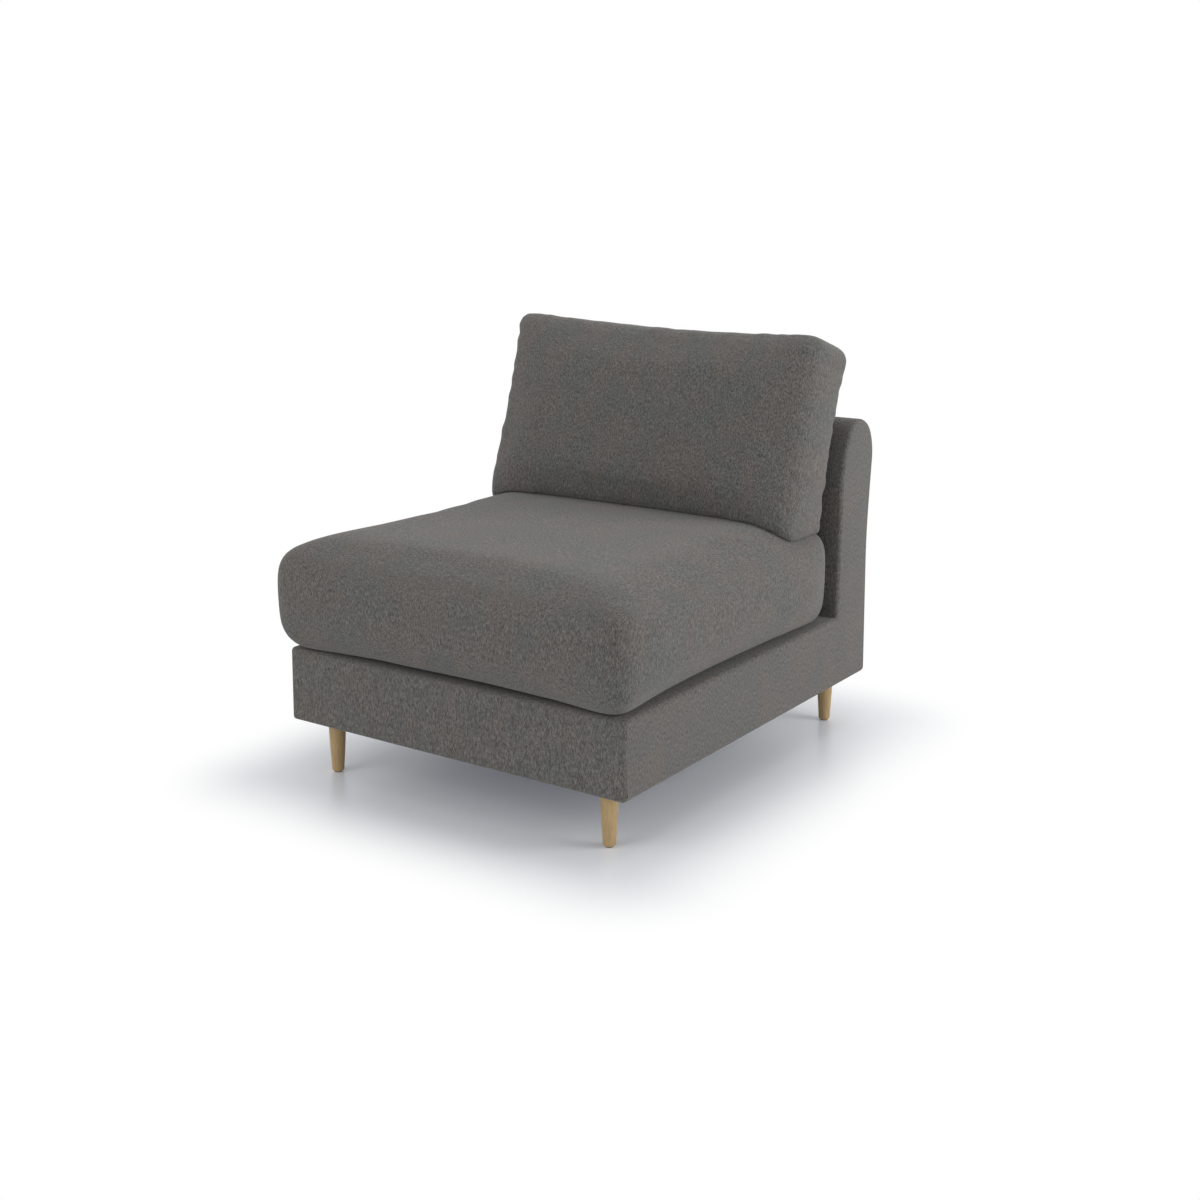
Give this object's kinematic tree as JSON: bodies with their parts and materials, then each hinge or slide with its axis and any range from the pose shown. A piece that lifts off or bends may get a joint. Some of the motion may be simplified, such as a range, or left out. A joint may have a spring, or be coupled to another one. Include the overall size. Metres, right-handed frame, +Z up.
{
  "type": "armless sofa",
  "caption": "Armless upholstered sofa with a loose seat cushion, a loose leaning back cushion, a low padded back and turned tapered legs.",
  "frame": {"origin": "middle of the bounding box on the floor", "axes": "+Z up, -Y the front of the seat, +X to the right for someone looking at the front"},
  "size_m": [0.84, 1.0024, 0.8617],
  "materials": {
    "base_cloth": "heathered flat weave",
    "cushion_cloth": "heathered flat weave",
    "deck_cloth": "plain lining weave",
    "dust_cloth": "non-woven, matt",
    "wadding": "loose fibre",
    "foam": "open cell",
    "fibre": "loose fibre",
    "webbing": "woven strap",
    "plywood": "sawn",
    "softwood": "planed",
    "leg_oak": "satin lacquer",
    "spring_steel": "oiled",
    "plated_steel": "zinc plated",
    "zip_tape": "woven tape",
    "zip_metal": "dark enamel",
    "glide_plastic": "matt"
  },
  "bodies": {
    "frame": {"back_centre_post": "softwood", "back_lower_rail": "softwood", "back_top_rail": "softwood", "back_top_roll": "foam", "back_webbing_cross": "webbing", "back_webbing_upright": "webbing", "centre_stretcher": "softwood", "corner_blocks": "softwood", "deck_cloth": "deck_cloth", "deck_pad": "wadding", "dust_cover": "dust_cloth", "front_cover": "base_cloth", "front_rail": "softwood", "front_wadding": "wadding", "inner_back_cover": "base_cloth", "inner_back_foam": "foam", "inner_back_wadding": "wadding", "leg_bolts": "plated_steel", "leg_front_left": "leg_oak", "leg_front_right": "leg_oak", "leg_glides": "glide_plastic", "leg_plate_screws": "plated_steel", "leg_plates": "plated_steel", "leg_rear_left": "leg_oak", "leg_rear_right": "leg_oak", "outer_back_board": "plywood", "outer_back_cover": "base_cloth", "outer_back_foam": "foam", "outer_back_wadding": "wadding", "rear_rail": "softwood", "seat_springs": "spring_steel", "side_cover_left": "base_cloth", "side_cover_right": "base_cloth", "side_panel_left": "plywood", "side_panel_right": "plywood", "side_wadding_left": "wadding", "side_wadding_right": "wadding", "spring_clips": "plated_steel", "spring_rail": "softwood", "spring_ties": "spring_steel"},
    "seat_cushion": {"seat_cushion_cover": "cushion_cloth", "seat_fibre_wrap": "fibre", "seat_foam_core": "foam", "seat_zip_tape": "zip_tape"},
    "back_cushion": {"back_cushion_cover": "cushion_cloth", "back_cushion_fill": "fibre", "back_zip_tape": "zip_tape"},
    "seat_zip_slider": {"seat_zip_slider": "zip_metal"},
    "back_zip_slider": {"back_zip_slider": "zip_metal"}
  },
  "joints": [
    {"name": "seat_cushion_lift", "type": "slide", "parent": "frame", "child": "seat_cushion", "axis": [0, 0, 1], "range_m": [0, 0.45]},
    {"name": "back_cushion_lift", "type": "slide", "parent": "seat_cushion", "child": "back_cushion", "axis": [0, 0, 1], "range_m": [0, 0.26]},
    {"name": "seat_zip", "type": "slide", "parent": "seat_cushion", "child": "seat_zip_slider", "axis": [1, 0, 0], "range_m": [0, 0.572]},
    {"name": "back_zip", "type": "slide", "parent": "back_cushion", "child": "back_zip_slider", "axis": [1, 0, 0], "range_m": [0, 0.452]}
  ]
}
